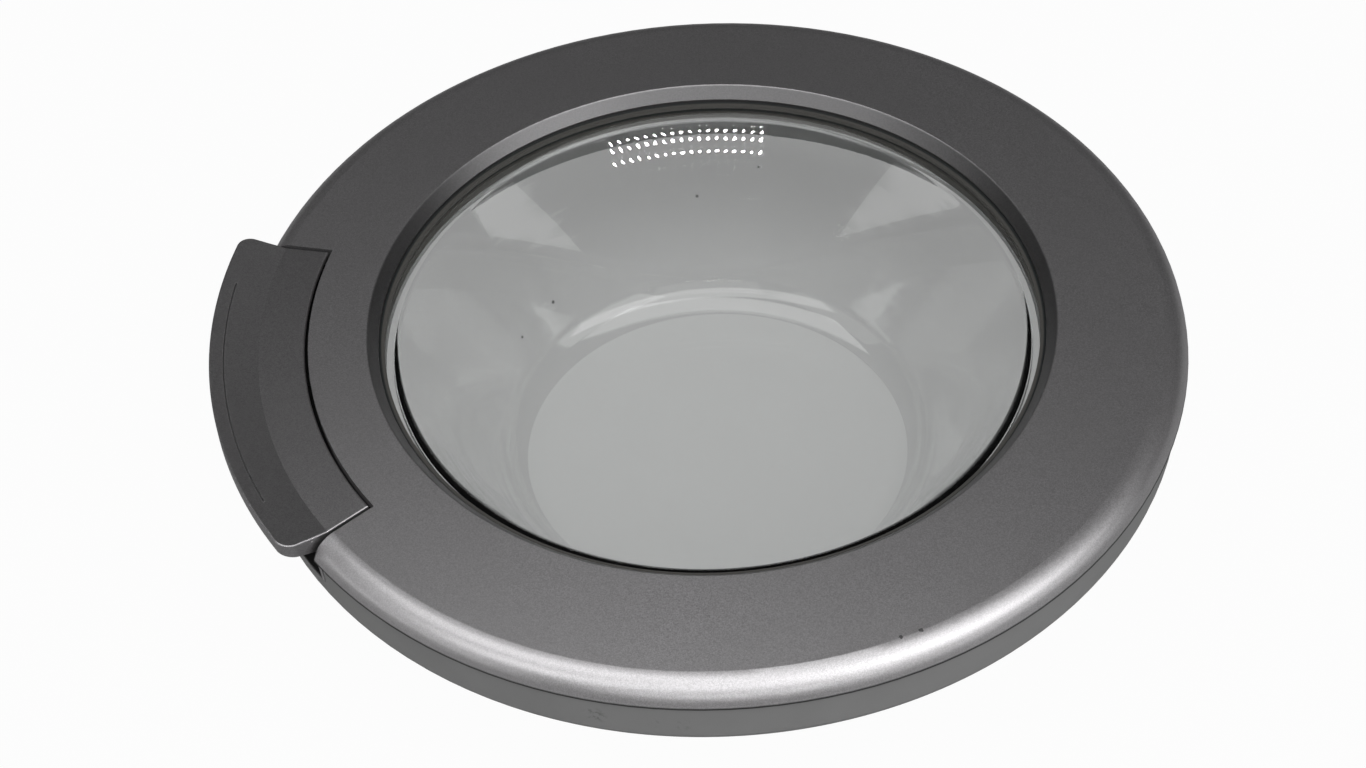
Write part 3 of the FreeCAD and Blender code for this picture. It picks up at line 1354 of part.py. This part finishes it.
def handle_spring():
    """Turns the lever back by its arm's ear, and stands on the tub's floor."""
    height = S.spring_pitch * S.spring_turns
    return torsion_spring("handle_spring", AXLE_X, AXLE_Z, S.spring_start,
                          S.spring_coil_radius, S.spring_wire_radius, S.spring_pitch,
                          S.spring_turns, -1,
                          [(-1, size_of(0), S.arm_ear_drop - S.spring_wire_radius),
                           (1, height, AXLE_Z - TUB_FLOOR_Z)])


def latch_spring():
    """Turns the hook back outward, and stands on the housing's base."""
    start = S.hook_width / 2 + S.latch_wire_radius + S.fit_gap
    turns = S.latch_spring_turns
    return torsion_spring("latch_spring", LATCH_X, LATCH_Z, start,
                          S.latch_coil_radius, S.latch_wire_radius, S.latch_spring_pitch,
                          turns, -1,
                          [(1, S.latch_spring_pitch * turns,
                            LATCH_Z - BACK_TOP_Z - S.latch_base_wall)])


# Build, check and write

def is_bad(thing):
    return "Invalid" in thing.State or "Error" in thing.State


PARTS = [
    glass_bowl(),
    glass_gasket(),
    front_frame(),
    rear_frame(),
    frame_screws(),
    hinge_support(),
    hinge_screws(),
    hinge_bush("hinge_bush_upper", -1),
    hinge_bush("hinge_bush_lower", 1),
    hinge_bracket(),
    hinge_pin(),
    latch_housing(),
    latch_screws(),
    latch_pin(),
    latch_hook(),
    latch_spring(),
    handle_cover(),
    handle_lever(),
    handle_screws(),
    handle_axle(),
    handle_spring(),
    handle_bumpers(),
]
doc.recompute()
failed = [thing.Name for thing in doc.Objects if is_bad(thing)]
if failed:
    raise RuntimeError("failed: " + ", ".join(failed))
for part in PARTS:
    if part.Shape.isNull() or not part.Shape.isValid():
        raise RuntimeError(part.Label + " has no valid shape")
os.makedirs("parts", exist_ok=True)
for part in PARTS:
    part.Shape.exportStep(f"parts/{part.Label}.step")
    print(part.Label, round(part.Shape.Volume), len(part.Shape.Solids))
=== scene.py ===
import math

import bmesh
import bpy
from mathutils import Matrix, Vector


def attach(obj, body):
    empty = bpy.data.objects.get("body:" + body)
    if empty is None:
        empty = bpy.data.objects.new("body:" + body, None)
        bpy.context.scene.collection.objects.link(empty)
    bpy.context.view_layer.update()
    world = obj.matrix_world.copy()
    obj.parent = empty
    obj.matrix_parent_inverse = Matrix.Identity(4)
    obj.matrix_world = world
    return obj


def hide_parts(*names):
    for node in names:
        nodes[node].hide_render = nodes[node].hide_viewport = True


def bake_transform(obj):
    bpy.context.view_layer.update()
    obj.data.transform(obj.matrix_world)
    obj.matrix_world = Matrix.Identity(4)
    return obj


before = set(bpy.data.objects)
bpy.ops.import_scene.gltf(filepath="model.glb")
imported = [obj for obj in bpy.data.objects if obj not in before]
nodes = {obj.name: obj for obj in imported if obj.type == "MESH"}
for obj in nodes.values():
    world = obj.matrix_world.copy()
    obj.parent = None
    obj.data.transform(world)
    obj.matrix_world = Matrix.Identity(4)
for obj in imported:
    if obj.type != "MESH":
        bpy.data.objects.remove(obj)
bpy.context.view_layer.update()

scene = bpy.context.scene
scene.view_settings.view_transform = "Standard"


# Camera
# Stands in front of the door's near edge and above it, and looks down at about 45 degrees, as the photograph
# does. Its place, turn and lens were fitted to the ring's outer edge, the glass edge and the bowl's floor.

camera = bpy.data.cameras.new("camera")
camera.lens = 74.13
camera.sensor_width = 36.0
camera_object = bpy.data.objects.new("camera", camera)
camera_object.location = (-0.16255, -0.96109, 1.07826)
camera_object.rotation_euler = [math.radians(angle) for angle in (43.5012, 2.3384, -11.1401)]
scene.collection.objects.link(camera_object)
scene.camera = camera_object


# Floor, lamps and room
# A white table with the loose door lying on it, in a room that is white to the camera and dim to the door.
# Two wide soft lamps hang over it. Three pairs of smaller ones stand round it, with a dark gap between the
# two lamps of each pair, at the height that the far wall of the bowl mirrors.


class Socket:
    """One output of a material's nodes, on which sums are written as for numbers."""

    def __init__(self, finish, output):
        self.finish = finish
        self.output = output

    def sum(self, operation, first, second):
        return self.finish.node("ShaderNodeMath", {"operation": operation}, {0: first, 1: second})

    def __add__(self, other):
        return self.sum("ADD", self, other)

    __radd__ = __add__

    def __sub__(self, other):
        return self.sum("SUBTRACT", self, other)

    def __rsub__(self, other):
        return self.sum("SUBTRACT", other, self)

    def __mul__(self, other):
        return self.sum("MULTIPLY", self, other)

    __rmul__ = __mul__

    def __pow__(self, other):
        return self.sum("POWER", self, other)

    def rises(self, low, high):
        """0 below low, 1 above high and a smooth rise between them."""
        return self.finish.node("ShaderNodeMapRange", {"interpolation_type": "SMOOTHSTEP"},
                                {"Value": self, "From Min": low, "From Max": high})


class Finish:
    """A material under construction, or the world."""

    def __init__(self, name, owner=None):
        self.owner = owner or bpy.data.materials.new(name)
        self.owner.use_nodes = True
        self.tree = self.owner.node_tree
        self.tree.nodes.clear()

    def node(self, kind, settings, sockets, out=0):
        """Any node: its settings come first, and then the values or links of its sockets."""
        made = self.tree.nodes.new(kind)
        for key, value in settings.items():
            setattr(made, key, value)
        for key, value in sockets.items():
            if isinstance(value, Socket):
                self.tree.links.new(value.output, made.inputs[key])
            else:
                made.inputs[key].default_value = value
        return Socket(self, made.outputs[out]) if made.outputs else None

    def place(self):
        """Where a point is on the door, in metres."""
        return self.node("ShaderNodeTexCoord", {}, {}, "Object")

    def ray(self, kind):
        """1 for one kind of ray."""
        return self.node("ShaderNodeLightPath", {}, {}, kind)

    def noise(self, where, scale, detail=2.0, rough=0.5):
        return self.node("ShaderNodeTexNoise", {}, {"Vector": where, "Scale": scale, "Detail": detail,
                                                    "Roughness": rough})

    def distance(self, where, middle):
        return self.node("ShaderNodeVectorMath", {"operation": "DISTANCE"}, {0: where, 1: middle}, "Value")

    def spot(self, where, middle, inner, outer):
        """1 within the inner distance from its middle and 0 past the outer one."""
        return 1 - self.distance(where, middle).rises(inner, outer)

    def blend(self, share, first, second):
        """A colour between two others, by a share."""
        return self.node("ShaderNodeMix", {"data_type": "RGBA"}, {0: share, 6: first, 7: second}, 2)

    def bump(self, height, strength, distance):
        return self.node("ShaderNodeBump", {}, {"Height": height, "Strength": strength, "Distance": distance})

    def surface(self, shader):
        """The finished material, or the finished world."""
        kind = "World" if isinstance(self.owner, bpy.types.World) else "Material"
        self.node("ShaderNodeOutput" + kind, {}, {"Surface": shader})
        return self.owner

    def glowing(self, strength):
        return self.node("ShaderNodeEmission", {}, {"Color": grey(1.0), "Strength": strength})

    def shaded(self, **sockets):
        """A finished material from the main shader's sockets, named with _ for each space."""
        named = {key.replace("_", " "): value for key, value in sockets.items()}
        return self.surface(self.node("ShaderNodeBsdfPrincipled", {}, named))


def grey(value):
    return (value, value, value, 1.0)


TABLE_SIZE = 8.0
TABLE_LEVEL = -0.0004

bpy.ops.object.select_all(action="DESELECT")
bpy.ops.mesh.primitive_plane_add(size=TABLE_SIZE, location=(0, 0, TABLE_LEVEL))
floor = bpy.context.object
floor.name = "floor"
white = Finish("white_table")
seen = white.ray("Is Camera Ray") * 0.97 + white.ray("Is Glossy Ray") * 0.04
seen = seen + white.ray("Is Transmission Ray") * 0.24
bare = white.node("ShaderNodeBsdfDiffuse", {}, {"Color": grey(0.26)})
floor.data.materials.append(white.surface(
    white.node("ShaderNodeMixShader", {}, {0: seen, 1: bare, 2: white.glowing(1.0)})))

room = Finish("room", bpy.data.worlds.new("room"))
scene.world = room.surface(room.node("ShaderNodeBackground", {}, {
    "Color": grey(1.0), "Strength": 0.04 + room.ray("Is Camera Ray") * 0.93}))

LAMP_AIM = Vector((0, -0.1, 0.08))


def soft_lamp(name, place, width, height, power):
    """A wide flat lamp that points at the door."""
    lamp = bpy.data.lights.new(name, "AREA")
    lamp.shape = "RECTANGLE"
    lamp.size = width
    lamp.size_y = height
    lamp.energy = power
    holder = bpy.data.objects.new(name, lamp)
    holder.location = place
    holder.rotation_euler = (LAMP_AIM - Vector(place)).to_track_quat("-Z", "Y").to_euler()
    scene.collection.objects.link(holder)


soft_lamp("lamp_overhead", (-0.1, -0.32, 2.1), width=3.4, height=1.3, power=27.0)
soft_lamp("lamp_above_camera", (-0.1, -1.45, 1.85), width=6.5, height=0.95, power=34.0)

# each pair's turn about the door in degrees, and the brightness of its upper and its lower lamp
PAIRS = {"right": (-43, 1.4, 1.6), "middle": (-98, 0.5, 0.5), "left": (-166, 0.6, 1.5)}
PAIR_DISTANCE = 2.5
PAIR_WIDTH = 2.6
UPPER_LEVEL, UPPER_HEIGHT = 1.85, 1.65
LOWER_LEVEL, LOWER_HEIGHT = 0.4, 0.4

for side, (turned_by, upper, lower) in PAIRS.items():
    angle = math.radians(turned_by)
    for row, level, height, brightness in (("upper", UPPER_LEVEL, UPPER_HEIGHT, upper),
                                           ("lower", LOWER_LEVEL, LOWER_HEIGHT, lower)):
        soft_lamp(f"lamp_{side}_{row}",
                  (PAIR_DISTANCE * math.cos(angle), PAIR_DISTANCE * math.sin(angle), level),
                  PAIR_WIDTH, height, brightness * math.pi * PAIR_WIDTH * height)

# Curved rows of small flat diodes behind the camera, which the glass mirrors as dots. Each row has a level and
# its dots' half height. The turns are in degrees, and the dots' half width is in radians.
DIODE_ROWS = ((1.026, 0.0008), (1.016, 0.0014), (1.0035, 0.0024), (0.9825, 0.0015))
DIODES_IN_ROW = 18
DIODE_DISTANCE = 2.6
DIODE_HALF_WIDTH = 0.009
DIODE_PITCH = 3.1
ROW_MIDDLE = -95
ROW_START = 27.5
ROW_SLOPE = 0.00079
ROW_SAG = 0.00009

corners = ((-1, -1), (1, -1), (1, 1), (-1, 1))
dots = bmesh.new()
for row_level, half_height in DIODE_ROWS:
    for number in range(DIODES_IN_ROW):
        turned_by = ROW_START - DIODE_PITCH * number
        angle = math.radians(turned_by + ROW_MIDDLE)
        level = row_level - ROW_SLOPE * turned_by - ROW_SAG * turned_by * turned_by
        dots.faces.new([
            dots.verts.new((DIODE_DISTANCE * math.cos(angle + across * DIODE_HALF_WIDTH),
                            DIODE_DISTANCE * math.sin(angle + across * DIODE_HALF_WIDTH),
                            level + up * half_height))
            for across, up in corners])
diodes = bpy.data.objects.new("diode_rows", bpy.data.meshes.new("diode_rows"))
dots.to_mesh(diodes.data)
dots.free()
scene.collection.objects.link(diodes)
bright = Finish("diode_light")
diodes.data.materials.append(bright.surface(bright.glowing(240.0)))


# Glass bowl
# One pressed bowl of clear glass with a thick flat floor and a flange that the frames clamp. It has the
# solid's own section, drawn point by point from the middle of the floor's underside and then spun about the
# door's axis, with enough steps for a smooth rim.

MM = 0.001
GLASS = 5.0
DEPTH = 95.0
MOUTH_RADIUS = 155.8
FLANGE_RADIUS = 165.9
WALL_LEAN = math.radians(30)
FOOT_ROUNDING_OUTSIDE, FOOT_ROUNDING_INSIDE = 29, 24
NECK_ROUNDING, MOUTH_ROUNDING = 3, 8
STRAIGHT_OUTSIDE, STRAIGHT_INSIDE = (22, 86), (19, 90)
ARC_STEPS = 14
SPIN_STEPS = 256
SAME_POINT = 0.005 * MM


def wall_radius(level):
    """The radius of the wall's inner face, at a level over the table."""
    return MOUTH_RADIUS - (DEPTH - level) * math.tan(WALL_LEAN)


def rounded_line(corners):
    """The points of a section's line, whose corners are (radius, level) or (radius, level, rounding)."""
    points = []
    for index, corner in enumerate(corners):
        here = Vector(corner[:2])
        if len(corner) < 3:
            points.append(here)
            continue
        before = Vector(corners[index - 1][:2])
        after = Vector(corners[index + 1][:2])
        to_before, to_after = (before - here).normalized(), (after - here).normalized()
        half = to_before.angle(to_after) / 2
        reach = corner[2] / math.tan(half)
        centre = here + (to_before + to_after).normalized() * corner[2] / math.sin(half)
        start, end = here + to_before * reach - centre, here + to_after * reach - centre
        turn = start.angle_signed(end)
        for step in range(ARC_STEPS + 1):
            angle = -turn * step / ARC_STEPS
            c, s = math.cos(angle), math.sin(angle)
            points.append(centre + Vector((start.x * c - start.y * s, start.x * s + start.y * c)))
    return points


# two more points on each straight wall keep its shading straight, so that the diodes are mirrored in place
across_wall = GLASS / math.cos(WALL_LEAN)
section = rounded_line([
    (0, 0),
    (wall_radius(0) + across_wall, 0, FOOT_ROUNDING_OUTSIDE),
    (wall_radius(STRAIGHT_OUTSIDE[0]) + across_wall, STRAIGHT_OUTSIDE[0]),
    (wall_radius(STRAIGHT_OUTSIDE[1]) + across_wall, STRAIGHT_OUTSIDE[1]),
    (wall_radius(DEPTH - GLASS) + across_wall, DEPTH - GLASS, NECK_ROUNDING),
    (FLANGE_RADIUS, DEPTH - GLASS),
    (FLANGE_RADIUS, DEPTH),
    (MOUTH_RADIUS, DEPTH, MOUTH_ROUNDING),
    (wall_radius(STRAIGHT_INSIDE[1]), STRAIGHT_INSIDE[1]),
    (wall_radius(STRAIGHT_INSIDE[0]), STRAIGHT_INSIDE[0]),
    (wall_radius(GLASS), GLASS, FOOT_ROUNDING_INSIDE),
    (0, GLASS),
])
bpy.ops.object.select_all(action="DESELECT")
bpy.ops.mesh.primitive_plane_add(size=MM, calc_uvs=False, location=(0, 0, 0))
bowl = bpy.context.object
bowl.name = "bowl"
bowl.data.name = "bowl"
bpy.ops.object.mode_set(mode="EDIT")
bpy.ops.mesh.select_all(action="SELECT")
bpy.ops.mesh.merge(type="CENTER")
for point, next_point in zip(section, section[1:]):
    step = (next_point - point) * MM
    bpy.ops.mesh.extrude_region_move(TRANSFORM_OT_translate={"value": (step.x, 0, step.y)})
bpy.ops.mesh.select_all(action="SELECT")
bpy.ops.mesh.spin(steps=SPIN_STEPS, angle=math.radians(360), center=(0, 0, 0), axis=(0, 0, 1))
bpy.ops.mesh.select_all(action="SELECT")
bpy.ops.mesh.remove_doubles(threshold=SAME_POINT)
bpy.ops.mesh.normals_make_consistent(inside=False)
bpy.ops.object.mode_set(mode="OBJECT")
bpy.ops.object.shade_smooth_by_angle(angle=math.radians(30))
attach(bowl, "door")
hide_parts("glass_bowl")

# the middle and size of each dark speck, and the middle and the soft edge of the spot of dust
SPECKS = (((0.018, 0.1329, 0.057), 0.0011),
          ((0.0521, 0.1324, 0.071), 0.001),
          ((-0.0679, 0.0978, 0.031), 0.0012),
          ((-0.0878, 0.0784, 0.0285), 0.001),
          ((-0.1039, 0.0072, 0.0055), 0.0009))
DUST = (0.088, 0.0945, 0.05)
DUST_EDGE = (0.003, 0.015)


def glass(name, tint_and_shade, rough, wave, stretch):
    """Clear glass that lets the lamps' light through, with waves in it that are stretched round the bowl."""
    clear = Finish(name)
    where = clear.place()
    streaks = clear.node("ShaderNodeVectorMath", {"operation": "MULTIPLY"},
                         {0: where, 1: (1.0, 1.0, stretch)})
    ripple = clear.noise(streaks, scale=14.0)
    specks = sum(clear.spot(where, middle, size * 0.6, size) for middle, size in SPECKS)
    dust = clear.noise(where, scale=1500.0).rises(0.6, 0.68) * clear.spot(where, DUST, *DUST_EDGE)
    body = clear.node("ShaderNodeBsdfPrincipled", {}, {
        "Base Color": clear.blend(specks, (0.99 * tint_and_shade, tint_and_shade, 0.995 * tint_and_shade, 1.0), grey(0.15)),
        "Roughness": rough + dust * 0.3,
        "IOR": 1.5,
        "Specular Tint": grey(0.85),
        "Transmission Weight": 1.0,
        "Normal": clear.bump(ripple, wave, 0.002),
    })
    through = clear.node("ShaderNodeBsdfTransparent", {}, {"Color": (0.88, 0.89, 0.885, 1.0)})
    return clear.surface(clear.node("ShaderNodeMixShader", {}, {
        0: clear.ray("Is Shadow Ray"), 1: body, 2: through}))


# polished inside, and slightly dull and ringed on the outside where the mould held it; the outside below the
# flange is also tinted darker, as painted shade of what is seen through the wall
UNDER_FLANGE = 88 * MM
bowl.data.materials.append(glass("clear_glass", tint_and_shade=0.96, rough=0.0, wave=0.001, stretch=1.0))
bowl.data.materials.append(glass("pressed_glass", tint_and_shade=0.76, rough=0.05, wave=0.05, stretch=7.0))
for face in bowl.data.polygons:
    away_from_axis = Vector((face.center.x, face.center.y, 0)).normalized()
    if face.normal.dot(away_from_axis) > 0.3 and face.center.z < UNDER_FLANGE:
        face.material_index = 1


# Rubber channel
# A black rubber channel folded round the bowl's flange and pinched between the two frames.
# Its lip shows as a black line round the glass, which also stands in as painted shade of the gap under the
# frame's lip, with a painted highlight along its inner edge, where the lip's top catches the light.


def paint_node(name, material):
    """Gives a solid from the frame its material."""
    solid = nodes[name]
    solid.data.materials.clear()
    solid.data.materials.append(material)


def axes_and_radius(finish, where):
    """A point's three coordinates, and its distance from the door's axis."""
    axes = [finish.node("ShaderNodeSeparateXYZ", {}, {"Vector": where}, axis) for axis in "XYZ"]
    return axes, (axes[0] * axes[0] + axes[1] * axes[1]) ** 0.5


# painted highlight: inside this radius the rubber is drawn lighter, where the lip's top catches the light
LIP_HIGHLIGHT_EDGE = (0.1621, 0.1627)

black = Finish("black_rubber")
where = black.place()
axes, radius = axes_and_radius(black, where)
spots = black.noise(where, scale=900.0, detail=3.0)
tone = black.blend(spots, (0.006, 0.008, 0.008, 1), (0.016, 0.02, 0.02, 1))
black_rubber = black.shaded(
    Base_Color=black.blend(radius.rises(*LIP_HIGHLIGHT_EDGE), (0.055, 0.053, 0.049, 1), tone),
    Roughness=0.45 + 0.2 * spots,
    Normal=black.bump(spots, 0.15, 0.0004))
paint_node("glass_gasket", black_rubber)


# Front frame
# Moulded in one piece with its chamfered inner lip, rounded shoulder and the tub behind the handle,
# then sprayed with a silver paint that holds fine metal flakes. Painted shade darkens the chamfer towards the
# lip's foot and the frame's edge at the joint, and the tub is left as dark bare moulding, which also serves as
# painted shade.


def silver_paint(name, share):
    """Metallic paint under construction, its lightness a share of the ring's."""
    silver = Finish(name)
    where = silver.place()
    flake = silver.node("ShaderNodeTexVoronoi", {"feature": "F1"},
                        {"Vector": where, "Scale": 2600.0}, "Color")
    flakes = silver.node("ShaderNodeSeparateColor", {}, {"Color": flake}, 0)
    cloud = silver.noise(where, scale=9.0, detail=3.0)
    dull, mean, light = [(tone * share, 0.98 * tone * share, tone * share, 1) for tone in (0.38, 0.48, 0.64)]
    tone = silver.blend(flakes, dull, light)
    return silver, where, flakes, silver.blend(cloud * 0.8, tone, mean)


def painted(silver, tone, flakes, bare):
    """The finished paint, and the dark bare moulding where bare is 1, which also serves as painted shade."""
    return silver.shaded(
        Base_Color=silver.blend(bare, tone, grey(0.012)),
        Metallic=0.93 * (1 - bare),
        Roughness=0.33 + 0.08 * flakes + 0.2 * bare,
        Normal=silver.bump(flakes, 0.12, 0.0002))


def handle_side(silver, axes, half_angle):
    """1 within a half angle, in radians, of the handle's middle, which lies at the door's left."""
    turned_out = silver.node("ShaderNodeMath", {"operation": "ARCTAN2"}, {0: axes[1], 1: -1 * axes[0]})
    return (turned_out + half_angle).rises(0.0, 0.004) * (half_angle - turned_out).rises(0.0, 0.004)


# each pair of numbers is the start and the end of a soft edge
LIP_SHADE_EDGE = (0.1679, 0.1692)
FACE_RADIUS, FACE_LEVEL, FACE_SLOPE = 0.1688, 0.1049, 0.07
TUB_HALF_ANGLE = 0.466
TUB_INNER, TUB_OUTER = (0.1972, 0.1976), (0.2318, 0.2326)
TUB_DEPTH = (0.0015, 0.006)
JOINT_LEVEL, JOINT_RADIUS = (0.0902, 0.0912), (0.2310, 0.2315)
CHIPS = ((0.0413, -0.2157, 0.1014), (0.0509, -0.2139, 0.1014))
CHIP_EDGE = (0.0016, 0.0019)
CHIP_RAGGEDNESS = 0.0014

silver, where, flakes, tone = silver_paint("silver_paint", 1.0)
axes, radius = axes_and_radius(silver, where)
# painted shade: inside the face's edge the chamfer and the lip's foot are drawn darker, down towards the glass
tone = silver.blend((1 - radius.rises(*LIP_SHADE_EDGE)) * 0.8, tone, grey(0.05))
depth = FACE_LEVEL - (radius - FACE_RADIUS) * FACE_SLOPE - axes[2]
# the tub behind the handle: dark bare moulding, which also stands in as painted shade for the deep gap there
tub = handle_side(silver, axes, TUB_HALF_ANGLE) * radius.rises(*TUB_INNER) * depth.rises(*TUB_DEPTH)
tub = tub * (1 - radius.rises(*TUB_OUTER))
ragged = silver.noise(where, scale=900.0) * CHIP_RAGGEDNESS
chips = sum(1 - (silver.distance(where, middle) + ragged).rises(*CHIP_EDGE) for middle in CHIPS)
# painted shade along the joint with the rear frame: the frame's lower outer edge is drawn dark
joint_shade = (1 - axes[2].rises(*JOINT_LEVEL)) * radius.rises(*JOINT_RADIUS)
paint_node("front_frame", painted(silver, tone, flakes, tub + chips * 0.9 + joint_shade))


# Rear frame
# The unpainted grey moulding behind the front one: an outer wall, a flat back and the collar round the bowl.
# Eight screws hold the two frames together. The wall is scuffed and chipped on its near side.

# the middle, the size and the strength of each scuff
SCUFFS = (((-0.0968, -0.2114, 0.0772), 0.0075, 0.45),
          ((-0.0715, -0.2213, 0.0765), 0.005, 0.25),
          ((-0.0593, -0.2248, 0.0757), 0.006, 0.25))
REAR_CHIP = (0.0835, -0.217, 0.0872)
REAR_CHIP_EDGE = (0.0007, 0.0012)

dull = Finish("grey_moulding")
where = dull.place()
grain = dull.noise(where, scale=1800.0)
haze = dull.noise(where, scale=22.0, detail=4.0, rough=0.6)
scratches = dull.noise(where, scale=420.0, detail=3.0, rough=0.6).rises(0.5, 0.62)
scuffs = sum(dull.spot(where, middle, size * 0.3, size) * strength for middle, size, strength in SCUFFS)
worn = scuffs * scratches + dull.spot(where, REAR_CHIP, *REAR_CHIP_EDGE) * 0.8
paint_node("rear_frame", dull.shaded(
    Base_Color=dull.blend(worn, dull.blend(haze, grey(0.20), grey(0.26)), grey(0.03)),
    Roughness=0.5 + 0.15 * grain,
    Normal=dull.bump(grain, 0.2, 0.0003)))


# Handle
# A painted cover over a dark stiff lever, held by four screws. The two turn together on the axle in the tub,
# and close on two rubber bumpers. The groove that is moulded along the cover's outer edge is drawn dark, as
# painted shade.

GROOVE_INNER, GROOVE_OUTER = (0.2378, 0.2381), (0.2388, 0.2391)
GROOVE_HALF_ANGLE = 0.32

silver, where, flakes, tone = silver_paint("handle_paint", 0.72)
axes, radius = axes_and_radius(silver, where)
# painted shade: a thin band along the groove on the cover's outer edge is drawn near black
groove_shade = radius.rises(*GROOVE_INNER) * (1 - radius.rises(*GROOVE_OUTER))
groove_shade = groove_shade * handle_side(silver, axes, GROOVE_HALF_ANGLE)
paint_node("handle_cover", painted(silver, tone, flakes, groove_shade * 0.9))

dark = Finish("dark_moulding")
grain = dark.noise(dark.place(), scale=1600.0)
dark_plastic = dark.shaded(
    Base_Color=dark.blend(grain, grey(0.02), grey(0.035)),
    Roughness=0.45 + 0.15 * grain,
    Normal=dark.bump(grain, 0.15, 0.0003))
paint_node("handle_lever", dark_plastic)
paint_node("handle_bumpers", black_rubber)


# Metal pieces
# Zinc plated screws and pins, the hinge's folded support, and springs wound from zinc plated wire.
# The handle's spring is drawn as a smoothed copy of its solid. On the real door it stands with one leg and
# follows the lever with the other, so that its coil twists when the handle is pulled.

zinc = Finish("zinc_plate")
mottle = zinc.noise(zinc.place(), scale=240.0, detail=3.0)
zinc_plate = zinc.shaded(
    Base_Color=zinc.blend(mottle, (0.42, 0.42, 0.41, 1), (0.6, 0.6, 0.58, 1)),
    Metallic=1.0,
    Roughness=0.28 + 0.16 * mottle)
for name in ("frame_screws", "hinge_support", "hinge_screws", "hinge_pin", "latch_screws", "latch_pin",
             "handle_screws", "handle_axle", "latch_spring"):
    paint_node(name, zinc_plate)

coil = bpy.data.objects.new("handle_spring_wire", nodes["handle_spring"].data.copy())
scene.collection.objects.link(coil)
bpy.ops.object.select_all(action="DESELECT")
bpy.context.view_layer.objects.active = coil
coil.select_set(True)
bpy.ops.object.mode_set(mode="EDIT")
bpy.ops.mesh.select_all(action="SELECT")
bpy.ops.mesh.remove_doubles(threshold=SAME_POINT)
bpy.ops.object.mode_set(mode="OBJECT")
bpy.ops.object.shade_smooth_by_angle(angle=math.radians(40))
coil.data.materials.clear()
coil.data.materials.append(zinc_plate)
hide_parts("handle_spring")
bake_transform(coil)


# Hinge bracket and latch hook
# Die-cast alloy, dull from the mould, with a fine grain. The bracket bolts to the cabinet and carries the
# door on the hinge's pin, and the hook turns on a pin of its own.

cast = Finish("cast_alloy")
grain = cast.noise(cast.place(), scale=700.0, detail=4.0, rough=0.6)
cast_alloy = cast.shaded(
    Base_Color=cast.blend(grain, grey(0.42), grey(0.56)),
    Metallic=0.9,
    Roughness=0.42 + 0.15 * grain,
    Normal=cast.bump(grain, 0.25, 0.0004))
for name in ("hinge_bracket", "latch_hook"):
    paint_node(name, cast_alloy)


# Bushes and latch housing
# Bushes of natural acetal, pressed into the hinge's support, carry its pin.
# The hook's housing is moulded from the lever's dark plastic and held by two screws.

pale = Finish("pale_acetal")
grain = pale.noise(pale.place(), scale=900.0)
pale_acetal = pale.shaded(
    Base_Color=pale.blend(grain, grey(0.62), grey(0.7)),
    Roughness=0.4 + 0.1 * grain)
for name in ("hinge_bush_upper", "hinge_bush_lower"):
    paint_node(name, pale_acetal)
paint_node("latch_housing", dark_plastic)
